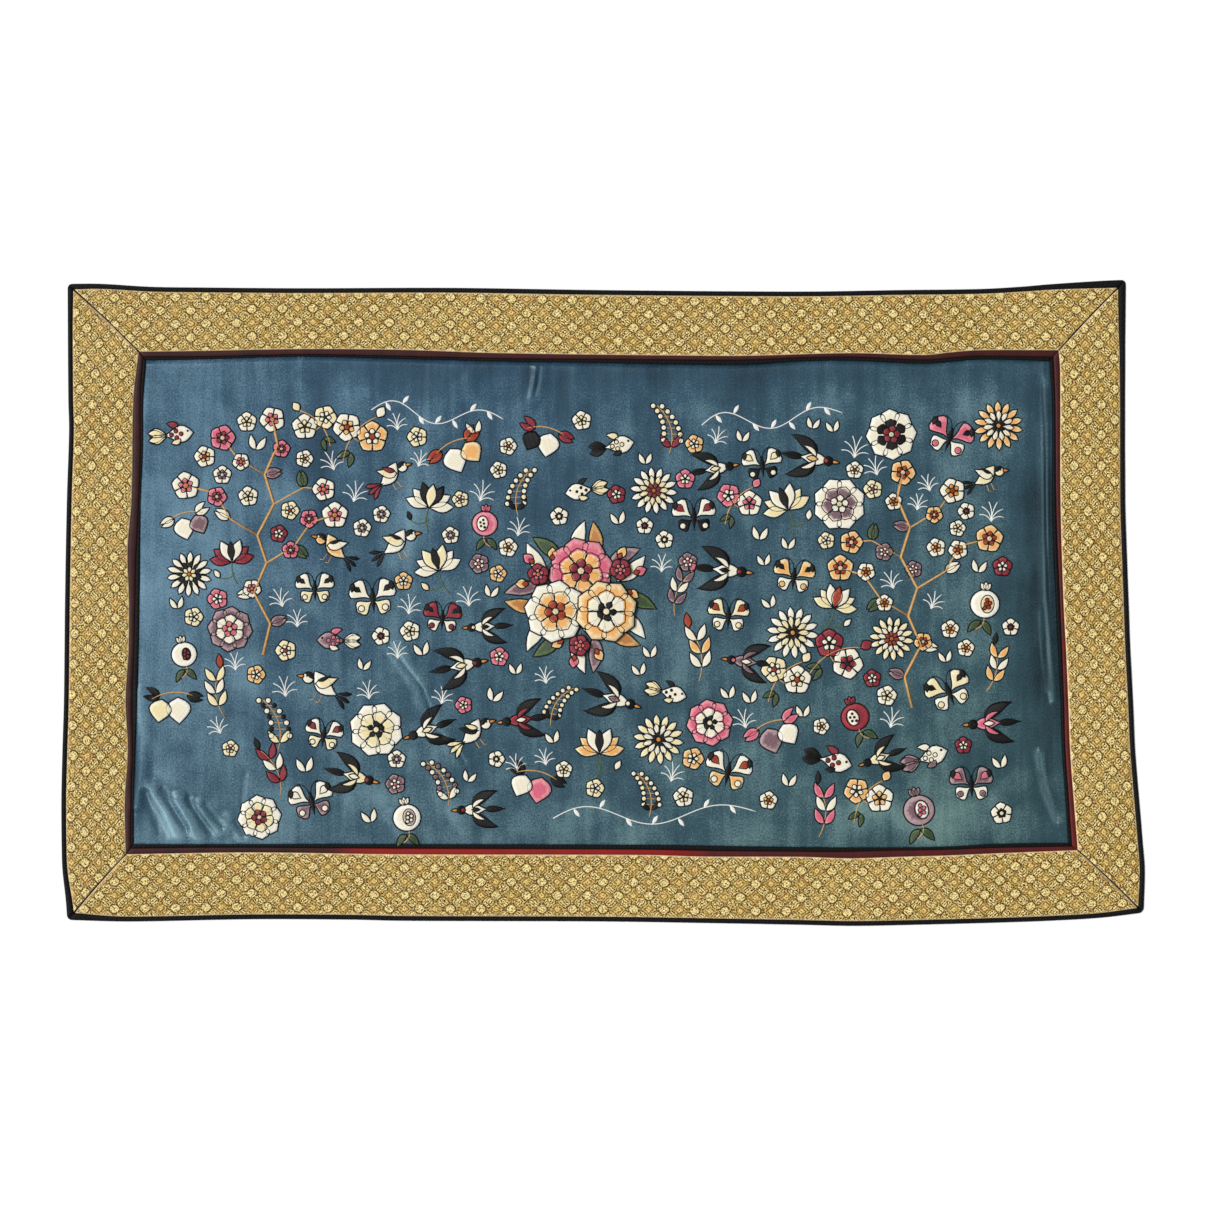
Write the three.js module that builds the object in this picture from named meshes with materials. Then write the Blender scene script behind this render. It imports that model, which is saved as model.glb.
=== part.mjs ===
// A bordered silk embroidery panel, lying face up on a flat surface with its own soft folds.
// A satin field is framed by a narrow black inner binding and a dark red silk band, then by a wide gold
// brocade border with mitred corners, and the whole is bound in black round the outside.
// Millimetres, +Z up. The origin is the middle of the panel's outline on the surface it lies on,
// +X runs to the right along the long side and +Y towards the top edge.
import * as THREE from 'three';

// Thickness of each layered piece, from the surface to its top.
const SATIN_THICK = 1.2;
const BROCADE_THICK = 1.6;
const RED_BAND_THICK = 1.8;
const INNER_BINDING_THICK = 2.2;
const BINDING_THICK = 3.0;
const BINDING_SIDE = 1.6; // height of the outer binding's rolled sides

const SEAM_GAP = 0.3; // between neighbouring pieces
const CORNER_RADIUS = 6;
const BINDING_WIDTH = 6.4;

// The outer binding is bunched wider where it turns the corners.
const BUNCHES = [
  { corner: [-728, 434], extra: 1.2, reach: 40 },
  { corner: [711, 440], extra: 4.0, reach: 90 },
  { corner: [735, -421], extra: 1.0, reach: 40 },
  { corner: [-728, -431], extra: 3.4, reach: 45 },
];

// The sewn lines of each side, as rows of [place along the side, how far out the line lies there].
// Places are x on the long sides and y on the short ones. red gives the red band's share of the
// narrow trim between the brocade's seam and the satin.
const LINES = {
  top: {
    edge: [[-728, 434], [-684, 434], [-616, 430], [-548, 429], [-412, 428], [-208, 428.5],
      [-4, 425.5], [268, 423.5], [404, 425.5], [512, 427], [567, 430], [608, 433.5], [676, 438],
      [711, 439.5]],
    seam: [[-631, 341.5], [-548, 342.5], [-412, 345], [-276, 344], [-140, 339.5], [132, 336],
      [200, 336], [336, 339.5], [438, 337], [472, 340.5], [512, 343.5], [620, 343.5]],
    satin: [[-621, 330], [-548, 331], [-412, 335], [-276, 332], [-140, 328.5], [-4, 326.5],
      [132, 324], [200, 324.5], [268, 328.5], [336, 329.5], [438, 325.5], [512, 331], [607, 329]],
    red: [[-620, 0.6], [-412, 0.74], [-140, 0.64], [132, 0.46], [404, 0.52], [540, 0.64], [610, 0.6]],
  },
  bottom: {
    edge: [[-728, -431], [-643, -433], [-480, -430], [-344, -430.5], [-276, -432], [-4, -433],
      [132, -435], [268, -437.5], [336, -439], [404, -438], [540, -434.5], [608, -432],
      [676, -428], [735, -421]],
    seam: [[-648, -341.5], [-480, -339], [-276, -341.5], [64, -342.5], [132, -344.5],
      [268, -345], [336, -347], [404, -345], [472, -343], [540, -340], [645, -336]],
    satin: [[-638, -328], [-276, -328], [64, -329], [268, -332], [404, -332.5], [472, -331],
      [540, -327.5], [632, -326.5]],
    red: [[-640, 0.6], [-548, 0.64], [-276, 0.57], [268, 0.55], [404, 0.7], [540, 0.6], [635, 0.55]],
  },
  left: {
    edge: [[434, -728], [276, -727], [235, -726], [140, -729], [4, -731.5], [-132, -733],
      [-200, -735], [-268, -736.5], [-336, -736], [-363, -735], [-404, -730.5], [-431, -728.5]],
    seam: [[341, -631], [276, -638], [140, -640.5], [72, -646], [4, -644], [-64, -644.5],
      [-132, -648.5], [-200, -645.5], [-268, -649.5], [-341, -648.5]],
    satin: [[330, -621], [276, -625], [208, -625.5], [140, -628.5], [4, -630], [-132, -633],
      [-268, -638], [-328, -638]],
    red: [[330, 0.6], [276, 0.68], [140, 0.8], [4, 0.55], [-132, 0.5], [-268, 0.68], [-330, 0.6]],
  },
  right: {
    edge: [[440, 711], [344, 710], [140, 710], [72, 712], [4, 714.5], [-64, 717], [-132, 720.5],
      [-200, 723.5], [-268, 729], [-322, 733.5], [-363, 736.5], [-421, 735]],
    seam: [[343, 619.5], [317, 621.5], [140, 622], [4, 626], [-64, 629.5], [-132, 632.5],
      [-200, 635], [-268, 640], [-336, 645.5]],
    satin: [[329, 607], [276, 611], [140, 611.5], [72, 613], [4, 616], [-132, 622.5],
      [-200, 624.5], [-268, 629], [-326, 632.5]],
    red: [[330, 0.6], [276, 0.66], [4, 0.48], [-132, 0.58], [-268, 0.61], [-328, 0.6]],
  },
};

// Soft ridges in the cloth: the line that each runs along, half its width, and its height.
const FOLDS = [
  { path: [[-631, -122], [-622, -180], [-626, -241], [-633, -275]], half: 14, height: 2.8 },
  { path: [[-613, -252], [-593, -282], [-577, -316]], half: 16, height: 4.2 },
  { path: [[-578, -268], [-556, -306], [-549, -320]], half: 16, height: 3.8 },
  { path: [[-549, -276], [-518, -309]], half: 16, height: 3.2 },
  { path: [[-510, -292], [-486, -319]], half: 14, height: 2.2 },
  { path: [[-480, -240], [-485, -284]], half: 14, height: 1.4 },
  { path: [[-292, -50], [-251, -110], [-230, -160], [-190, -216]], half: 18, height: 3.4 },
  { path: [[-348, 20], [-342, -20], [-332, -46]], half: 15, height: 1.8 },
  { path: [[-87, 318], [-94, 282]], half: 15, height: 2.6 },
  { path: [[-182, 305], [-180, 282]], half: 14, height: 1.6 },
  { path: [[-33, 314], [-33, 270]], half: 18, height: 1.4 },
  { path: [[602, 303], [604, 140], [606, 4], [613, -132]], half: 9, height: 2.8 },
  { path: [[594, -206], [603, -254], [620, -294]], half: 13, height: 3.2 },
  { path: [[580, -238], [536, -281]], half: 18, height: 1.8 },
  { path: [[397, -276], [438, -315]], half: 22, height: 2.2 },
  { path: [[-287, -290], [-259, -320]], half: 16, height: 1.6 },
  { path: [[-204, -280], [-184, -308]], half: 16, height: 1.6 },
  { path: [[661, -317], [691, -325]], half: 13, height: 1.4 },
];

// Where the cloth is divided along and up its sides: [from, to, steps], closer where the folds are.
const COLUMN_ZONES = [[0, 0.03, 4], [0.03, 0.42, 27], [0.42, 0.94, 19], [0.94, 1, 10]];
const ROW_ZONES = [[0, 0.33, 16], [0.33, 0.8, 12], [0.8, 1, 6]];

const COLOURS = { satin: 0x44667e, brocade: 0xb99a52, red: 0x5e1a1c, black: 0x16151a };

// A smooth curve through a table's rows, read at any place along the side.
function smoothLine(rows) {
  const table = [...rows].sort((a, b) => a[0] - b[0]);
  const slope = (i) => {
    const before = table[Math.max(i - 1, 0)];
    const after = table[Math.min(i + 1, table.length - 1)];
    return (after[1] - before[1]) / (after[0] - before[0]);
  };
  return (along) => {
    let i = 0;
    while (i < table.length - 2 && along > table[i + 1][0]) i += 1;
    const [a, b] = [table[i], table[i + 1]];
    const span = b[0] - a[0];
    const t = THREE.MathUtils.clamp((along - a[0]) / span, 0, 1);
    const curve = a[1] * (1 + 2 * t) * (1 - t) ** 2 + slope(i) * span * t * (1 - t) ** 2
      + b[1] * t * t * (3 - 2 * t) + slope(i + 1) * span * t * t * (t - 1);
    const past = along - THREE.MathUtils.clamp(along, a[0], b[0]);
    return curve + past * (past < 0 ? slope(i) : slope(i + 1));
  };
}

// How far the cloth is lifted off the surface by its folds.
const RIDGES = FOLDS.map(({ path, half, height }) => {
  const points = path.map(([x, y]) => new THREE.Vector3(x, y, 0));
  return { lines: points.slice(1).map((end, i) => new THREE.Line3(points[i], end)), half, height };
});
function rise(x, y) {
  const place = new THREE.Vector3(x, y, 0);
  const nearest = new THREE.Vector3();
  let lift = 0;
  for (const { lines, half, height } of RIDGES) {
    const distances = lines.map((line) => line.closestPointToPoint(place, true, nearest).distanceTo(place));
    const away = Math.min(...distances) / half;
    if (away < 1) lift += height * (1 - away ** 2) ** 2;
  }
  return lift;
}

// The five lines of every side, from the outline inwards, each a function of the place along the side.
const INWARD = { top: -1, bottom: 1, left: 1, right: -1 };
const isLong = (side) => side === 'top' || side === 'bottom';
function sideLines(side) {
  const [edge, seam, satin, redShare] = ['edge', 'seam', 'satin', 'red'].map(
    (name) => smoothLine(LINES[side][name]),
  );
  const bindingWidth = (along) => BUNCHES.reduce((width, { corner, extra, reach }) => {
    const [x, y] = isLong(side) ? [along, edge(along)] : [edge(along), along];
    const away = Math.hypot(x - corner[0], y - corner[1]) / reach;
    return width + extra * Math.exp(-(away ** 2));
  }, BINDING_WIDTH);
  return {
    edge,
    binding: (along) => edge(along) + INWARD[side] * bindingWidth(along),
    seam,
    red: (along) => THREE.MathUtils.lerp(seam(along), satin(along), redShare(along)),
    satin,
  };
}
const SIDES = Object.fromEntries(Object.keys(LINES).map((side) => [side, sideLines(side)]));

// The corner where a line of a long side meets the same line of a short side.
function corner(line, longSide, shortSide) {
  const at = new THREE.Vector2(SIDES[shortSide][line](0), SIDES[longSide][line](0));
  for (let i = 0; i < 8; i += 1) {
    at.y = SIDES[longSide][line](at.x);
    at.x = SIDES[shortSide][line](at.y);
  }
  return at;
}

// Points along one line of a side, from corner to corner. The outline's own corners are rounded.
function pointsAlong(line, side, shares) {
  const [first, last] = isLong(side)
    ? [corner(line, side, 'left').x, corner(line, side, 'right').x]
    : [corner(line, 'bottom', side).y, corner(line, 'top', side).y];
  const radius = line === 'edge' ? CORNER_RADIUS : 0;
  return shares.map((share) => {
    let along = THREE.MathUtils.lerp(first, last, share);
    const fromEnd = Math.min(along - first, last - along);
    let inset = 0;
    if (fromEnd < radius) {
      const turn = (Math.PI / 4) * (1 + fromEnd / radius);
      along += Math.sign(0.5 - share) * (radius * (1 - Math.cos(turn)) - fromEnd);
      inset = radius * (1 - Math.sin(turn));
    }
    const out = SIDES[side][line](along) + INWARD[side] * inset;
    return isLong(side) ? new THREE.Vector2(along, out) : new THREE.Vector2(out, along);
  });
}

function zoned(zones) {
  const shares = [0];
  for (const [from, to, steps] of zones) {
    for (let i = 1; i <= steps; i += 1) shares.push(from + ((to - from) * i) / steps);
  }
  return shares;
}
const COLUMNS = zoned(COLUMN_ZONES);
const ROWS = zoned(ROW_ZONES);

// Moves a grid of points inwards from its rim by half a seam gap, so that neighbours stay apart.
function drawnIn(grid) {
  const [lastRow, lastColumn] = [grid.length - 1, grid[0].length - 1];
  const towards = (from, to) => to.clone().sub(from).normalize().multiplyScalar(SEAM_GAP / 2);
  return grid.map((row, i) => row.map((point, j) => {
    const moved = point.clone();
    if (i === 0) moved.add(towards(point, grid[1][j]));
    if (i === lastRow) moved.add(towards(point, grid[lastRow - 1][j]));
    if (j === 0) moved.add(towards(point, grid[i][1]));
    if (j === lastColumn) moved.add(towards(point, grid[i][lastColumn - 1]));
    return moved;
  }));
}

// A closed sheet over a grid of points. tops gives its thickness at each place across the grid.
function clothSheet(points, tops) {
  const grid = drawnIn(points);
  const [rows, columns] = [grid.length, grid[0].length];
  const positions = [];
  for (const layer of ['under', 'upper']) {
    grid.forEach((row) => row.forEach((point, j) => {
      const height = layer === 'upper' ? tops[j % tops.length] : 0;
      positions.push(point.x, point.y, rise(point.x, point.y) + height);
    }));
  }
  const under = (i, j) => i * columns + j;
  const upper = (i, j) => (rows + i) * columns + j;
  const faces = [];
  const quad = (a, b, c, d) => faces.push(a, b, c, a, c, d);
  for (let i = 0; i + 1 < rows; i += 1) {
    for (let j = 0; j + 1 < columns; j += 1) {
      quad(upper(i, j), upper(i, j + 1), upper(i + 1, j + 1), upper(i + 1, j));
      quad(under(i, j), under(i + 1, j), under(i + 1, j + 1), under(i, j + 1));
    }
    quad(under(i, 0), upper(i, 0), upper(i + 1, 0), under(i + 1, 0));
    quad(under(i, columns - 1), under(i + 1, columns - 1), upper(i + 1, columns - 1), upper(i, columns - 1));
  }
  for (let j = 0; j + 1 < columns; j += 1) {
    quad(under(0, j), under(0, j + 1), upper(0, j + 1), upper(0, j));
    quad(under(rows - 1, j), upper(rows - 1, j), upper(rows - 1, j + 1), under(rows - 1, j + 1));
  }
  // Seen from above, a grid that runs clockwise would have its faces pointing in.
  const [origin, acrossEnd, alongEnd] = [grid[0][0], grid[0][columns - 1], grid[rows - 1][0]];
  const turn = acrossEnd.clone().sub(origin).cross(alongEnd.clone().sub(origin));
  if (turn < 0) {
    for (let k = 0; k < faces.length; k += 3) [faces[k + 1], faces[k + 2]] = [faces[k + 2], faces[k + 1]];
  }
  const geometry = new THREE.BufferGeometry();
  geometry.setAttribute('position', new THREE.Float32BufferAttribute(positions, 3));
  geometry.setIndex(faces);
  geometry.computeVertexNormals();
  return geometry;
}

// One side's strip of cloth between two sewn lines, with mitred ends.
function sideStrip(side, outerLine, innerLine, tops) {
  const shares = isLong(side) ? COLUMNS : ROWS;
  const outer = pointsAlong(outerLine, side, shares);
  const inner = pointsAlong(innerLine, side, shares);
  const last = tops.length - 1;
  const grid = outer.map((point, i) => tops.map((_, j) => point.clone().lerp(inner[i], j / last)));
  return clothSheet(grid, tops);
}

// The satin field, fitted smoothly between its four sewn edges.
function satinField() {
  const [low, high] = ['bottom', 'top'].map((side) => pointsAlong('satin', side, COLUMNS));
  const [left, right] = ['left', 'right'].map((side) => pointsAlong('satin', side, ROWS));
  const end = COLUMNS.length - 1;
  const blend = (a, b, share) => a.clone().lerp(b, share);
  const grid = ROWS.map((v, i) => COLUMNS.map((u, j) => {
    const byColumns = blend(low[j], high[j], v);
    const byRows = blend(left[i], right[i], u);
    const byCorners = blend(blend(low[0], low[end], u), blend(high[0], high[end], u), v);
    return byColumns.add(byRows).sub(byCorners);
  }));
  return clothSheet(grid, [SATIN_THICK]);
}

function cloth(name, geometry, color, roughness) {
  const material = new THREE.MeshStandardMaterial({ color, roughness, metalness: 0 });
  const mesh = new THREE.Mesh(geometry, material);
  mesh.name = name;
  return mesh;
}

const panel = new THREE.Group();
panel.add(cloth('satin_field', satinField(), COLOURS.satin, 0.45));
for (const side of Object.keys(LINES)) {
  const strip = (outerLine, innerLine, tops) => sideStrip(side, outerLine, innerLine, tops);
  panel.add(
    cloth(`inner_binding_${side}`, strip('red', 'satin', [INNER_BINDING_THICK, INNER_BINDING_THICK]),
      COLOURS.black, 0.6),
    cloth(`red_band_${side}`, strip('seam', 'red', [RED_BAND_THICK, RED_BAND_THICK]), COLOURS.red, 0.65),
    cloth(`brocade_border_${side}`, strip('binding', 'seam', [BROCADE_THICK, BROCADE_THICK, BROCADE_THICK]),
      COLOURS.brocade, 0.55),
    cloth(`outer_binding_${side}`, strip('edge', 'binding', [BINDING_SIDE, BINDING_THICK, BINDING_SIDE]),
      COLOURS.black, 0.6),
  );
}

export default panel;
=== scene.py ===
"""A bordered silk embroidery panel, laid face up on a pale floor and seen from straight above."""
import math
import random

import bpy
import numpy as np
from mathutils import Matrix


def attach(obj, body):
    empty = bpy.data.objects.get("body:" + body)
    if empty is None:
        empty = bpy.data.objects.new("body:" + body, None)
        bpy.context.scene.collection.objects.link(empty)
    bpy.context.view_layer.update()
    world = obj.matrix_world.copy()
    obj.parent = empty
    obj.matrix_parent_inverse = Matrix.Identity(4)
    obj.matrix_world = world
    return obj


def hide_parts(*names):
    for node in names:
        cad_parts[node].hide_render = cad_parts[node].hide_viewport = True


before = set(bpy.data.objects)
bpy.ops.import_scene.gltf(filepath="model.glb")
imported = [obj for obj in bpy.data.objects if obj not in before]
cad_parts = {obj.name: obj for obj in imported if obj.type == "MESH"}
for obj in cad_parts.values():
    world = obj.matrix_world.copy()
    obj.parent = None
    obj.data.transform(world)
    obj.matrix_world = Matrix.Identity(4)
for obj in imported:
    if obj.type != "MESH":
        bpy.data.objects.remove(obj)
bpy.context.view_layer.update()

MM = 0.001

# Sizes in millimetres. The sewn lines are those of the solids.
SATIN_THICK = 1.2
CORNER_RADIUS = 6
BINDING_WIDTH = 6.4
# The outer binding is bunched wider where it turns the corners: the corner, how much wider, and how far.
BUNCHES = [((-728, 434), 1.2, 40), ((711, 440), 4.0, 90), ((735, -421), 1.0, 40), ((-728, -431), 3.4, 45)]

# Each side's sewn lines, as rows of (place along the side, how far out the line lies there).
LINES = {
    "top": {
        "edge": [(-728, 434), (-684, 434), (-616, 430), (-548, 429), (-412, 428), (-208, 428.5),
                 (-4, 425.5), (268, 423.5), (404, 425.5), (512, 427), (567, 430), (608, 433.5),
                 (676, 438), (711, 439.5)],
        "seam": [(-631, 341.5), (-548, 342.5), (-412, 345), (-276, 344), (-140, 339.5), (132, 336),
                 (200, 336), (336, 339.5), (438, 337), (472, 340.5), (512, 343.5), (620, 343.5)],
        "satin": [(-621, 330), (-548, 331), (-412, 335), (-276, 332), (-140, 328.5), (-4, 326.5),
                  (132, 324), (200, 324.5), (268, 328.5), (336, 329.5), (438, 325.5), (512, 331),
                  (607, 329)],
        "red": [(-620, 0.6), (-412, 0.74), (-140, 0.64), (132, 0.46), (404, 0.52), (540, 0.64),
                (610, 0.6)],
    },
    "bottom": {
        "edge": [(-728, -431), (-643, -433), (-480, -430), (-344, -430.5), (-276, -432), (-4, -433),
                 (132, -435), (268, -437.5), (336, -439), (404, -438), (540, -434.5), (608, -432),
                 (676, -428), (735, -421)],
        "seam": [(-648, -341.5), (-480, -339), (-276, -341.5), (64, -342.5), (132, -344.5),
                 (268, -345), (336, -347), (404, -345), (472, -343), (540, -340), (645, -336)],
        "satin": [(-638, -328), (-276, -328), (64, -329), (268, -332), (404, -332.5), (472, -331),
                  (540, -327.5), (632, -326.5)],
        "red": [(-640, 0.6), (-548, 0.64), (-276, 0.57), (268, 0.55), (404, 0.7), (540, 0.6),
                (635, 0.55)],
    },
    "left": {
        "edge": [(434, -728), (276, -727), (235, -726), (140, -729), (4, -731.5), (-132, -733),
                 (-200, -735), (-268, -736.5), (-336, -736), (-363, -735), (-404, -730.5),
                 (-431, -728.5)],
        "seam": [(341, -631), (276, -638), (140, -640.5), (72, -646), (4, -644), (-64, -644.5),
                 (-132, -648.5), (-200, -645.5), (-268, -649.5), (-341, -648.5)],
        "satin": [(330, -621), (276, -625), (208, -625.5), (140, -628.5), (4, -630), (-132, -633),
                  (-268, -638), (-328, -638)],
        "red": [(330, 0.6), (276, 0.68), (140, 0.8), (4, 0.55), (-132, 0.5), (-268, 0.68),
                (-330, 0.6)],
    },
    "right": {
        "edge": [(440, 711), (344, 710), (140, 710), (72, 712), (4, 714.5), (-64, 717), (-132, 720.5),
                 (-200, 723.5), (-268, 729), (-322, 733.5), (-363, 736.5), (-421, 735)],
        "seam": [(343, 619.5), (317, 621.5), (140, 622), (4, 626), (-64, 629.5), (-132, 632.5),
                 (-200, 635), (-268, 640), (-336, 645.5)],
        "satin": [(329, 607), (276, 611), (140, 611.5), (72, 613), (4, 616), (-132, 622.5),
                  (-200, 624.5), (-268, 629), (-326, 632.5)],
        "red": [(330, 0.6), (276, 0.66), (4, 0.48), (-132, 0.58), (-268, 0.61), (-328, 0.6)],
    },
}
INWARD = {"top": -1, "bottom": 1, "left": 1, "right": -1}

# How bright the red band is along each side, from nearly black to clear red.
RED_TONES = {
    "top": [(-640, 0.16), (-400, 0.2), (100, 0.3), (400, 0.26), (640, 0.3)],
    "bottom": [(-660, 0.22), (-380, 0.24), (-330, 0.85), (-60, 0.95), (100, 0.85), (160, 0.45),
               (650, 0.5)],
    "left": [(-340, 0.2), (0, 0.18), (340, 0.16)],
    "right": [(-340, 0.55), (0, 0.5), (340, 0.3)],
}

# The main folds: the line that each runs along, its reach to the west and to the east of that line, and
# its height.
FOLDS = [
    ([(-631, -122), (-622, -180), (-626, -241), (-633, -275)], 14, 14, 2.8),
    ([(-613, -252), (-593, -282), (-577, -316)], 16, 16, 4.2),
    ([(-578, -268), (-556, -306), (-549, -320)], 16, 16, 3.8),
    ([(-549, -276), (-518, -309)], 16, 16, 3.2),
    ([(-510, -292), (-486, -319)], 14, 14, 2.2),
    ([(-480, -240), (-485, -284)], 14, 14, 1.4),
    ([(-292, -50), (-251, -110), (-230, -160), (-190, -216)], 18, 18, 3.4),
    ([(-348, 20), (-342, -20), (-332, -46)], 15, 15, 1.8),
    ([(-87, 318), (-94, 282)], 15, 15, 2.6),
    ([(-182, 305), (-180, 282)], 14, 14, 1.6),
    ([(-33, 314), (-33, 270)], 18, 18, 1.4),
    ([(602, 303), (604, 140), (606, 4), (613, -132)], 9, 9, 2.8),
    ([(594, -206), (603, -254), (620, -294)], 13, 13, 3.2),
    ([(580, -238), (536, -281)], 18, 18, 1.8),
    ([(397, -276), (438, -315)], 22, 22, 2.2),
    ([(-287, -290), (-259, -320)], 16, 16, 1.6),
    ([(-204, -280), (-184, -308)], 16, 16, 1.6),
    ([(661, -317), (691, -325)], 13, 13, 1.4),
]


# Shapes of the sewn lines

def smooth_line(rows):
    """A smooth curve through a table's rows, read at any places along the side."""
    along, out = np.array(sorted(rows), dtype=float).T
    slopes = np.empty_like(out)
    slopes[1:-1] = (out[2:] - out[:-2]) / (along[2:] - along[:-2])
    slopes[0] = (out[1] - out[0]) / (along[1] - along[0])
    slopes[-1] = (out[-1] - out[-2]) / (along[-1] - along[-2])

    def at(places):
        places = np.asarray(places, dtype=float)
        i = np.clip(np.searchsorted(along, places) - 1, 0, len(along) - 2)
        span = along[i + 1] - along[i]
        inside = np.clip(places, along[0], along[-1])
        t = (inside - along[i]) / span
        curve = (out[i] * (1 + 2 * t) * (1 - t) ** 2 + slopes[i] * span * t * (1 - t) ** 2
                 + out[i + 1] * t * t * (3 - 2 * t) + slopes[i + 1] * span * t * t * (t - 1))
        past = places - inside
        return curve + past * np.where(past < 0, slopes[0], slopes[-1])

    return at


def is_long(side):
    return side in ("top", "bottom")


def side_lines(side):
    """The five lines of a side, from the outline inwards."""
    edge, seam, satin, red_share = (smooth_line(LINES[side][k]) for k in ("edge", "seam", "satin", "red"))

    def binding(along):
        out = edge(along)
        x, y = (along, out) if is_long(side) else (out, along)
        width = np.full_like(out, BINDING_WIDTH)
        for (corner_x, corner_y), extra, reach in BUNCHES:
            away = np.hypot(x - corner_x, y - corner_y) / reach
            width = width + extra * np.exp(-away ** 2)
        return out + INWARD[side] * width

    def red(along):
        return seam(along) + (satin(along) - seam(along)) * red_share(along)

    return {"edge": edge, "binding": binding, "seam": seam, "red": red, "satin": satin}


SIDES = {side: side_lines(side) for side in LINES}


def corner(line, long_side, short_side):
    """Where a line of a long side meets the same line of a short side, found in eight rounds."""
    x = float(SIDES[short_side][line](0.0))
    for _ in range(8):
        y = float(SIDES[long_side][line](x))
        x = float(SIDES[short_side][line](y))
    return x, y


def points_along(line, side, shares):
    """Points of one line from corner to corner, as rows of x and y."""
    if is_long(side):
        first, last = corner(line, side, "left")[0], corner(line, side, "right")[0]
    else:
        first, last = corner(line, "bottom", side)[1], corner(line, "top", side)[1]
    along = first + (last - first) * shares
    inset = np.zeros_like(along)
    if line == "edge":
        from_end = np.minimum(along - first, last - along)
        rounded = from_end < CORNER_RADIUS
        turn = (math.pi / 4) * (1 + from_end / CORNER_RADIUS)
        shift = np.sign(0.5 - shares) * (CORNER_RADIUS * (1 - np.cos(turn)) - from_end)
        along = np.where(rounded, along + shift, along)
        inset = np.where(rounded, CORNER_RADIUS * (1 - np.sin(turn)), 0)
    out = SIDES[side][line](along) + INWARD[side] * inset
    return np.stack([along, out] if is_long(side) else [out, along], axis=-1)


def folded(folds, x, y):
    """The height that a table of folds gives any place, in millimetres."""
    height = np.zeros_like(x)
    for path, west, east, peak in folds:
        away = np.full_like(x, np.inf)
        for (ax, ay), (bx, by) in zip(path, path[1:]):
            run = np.array([bx - ax, by - ay])
            t = np.clip(((x - ax) * run[0] + (y - ay) * run[1]) / (run @ run), 0, 1)
            gap_x, gap_y = x - ax - t * run[0], y - ay - t * run[1]
            away = np.minimum(away, np.hypot(gap_x, gap_y) / np.where(gap_x < 0, west, east))
        height += peak * np.clip(1 - away ** 2, 0, None) ** 2
    return height


def rise(x, y):
    """How far the cloth is lifted off the floor by its main folds, in millimetres."""
    return folded(FOLDS, x, y)


# Materials

def linear(hex_colour):
    """A colour picked as sRGB, turned to linear light."""
    channels = [int(hex_colour[i:i + 2], 16) / 255 for i in (1, 3, 5)]
    return (*[c / 12.92 if c <= 0.04045 else ((c + 0.055) / 1.055) ** 2.4 for c in channels], 1.0)


def join(tree, node, inputs):
    """Sets inputs by name or in order. A socket, or a node's first output in use, is linked."""
    for name, value in inputs.items() if isinstance(inputs, dict) else enumerate(inputs):
        if isinstance(value, bpy.types.Node):
            value = next(output for output in value.outputs if output.enabled)
        if isinstance(value, bpy.types.NodeSocket):
            tree.links.new(value, node.inputs[name])
        else:
            node.inputs[name].default_value = linear(value) if isinstance(value, str) else value


def add(tree, kind, inputs=None, **settings):
    """Adds a node with its settings and links. Colours are given as sRGB hex."""
    node = tree.nodes.new("ShaderNode" + kind)
    for name, value in settings.items():
        setattr(node, name, value)
    join(tree, node, inputs or {})
    return node


def new_material(name):
    material = bpy.data.materials.new(name)
    material.use_nodes = True
    tree = material.node_tree
    return material, tree, tree.nodes["Principled BSDF"]


def dye(ramp, dark, middle, pale, middle_at):
    """Gives a colour ramp the dark, middle and pale tones of one dye."""
    stops = ramp.color_ramp.elements
    stops[0].color = linear(dark)
    stops[1].color = linear(pale)
    stops.new(middle_at).color = linear(middle)


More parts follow.
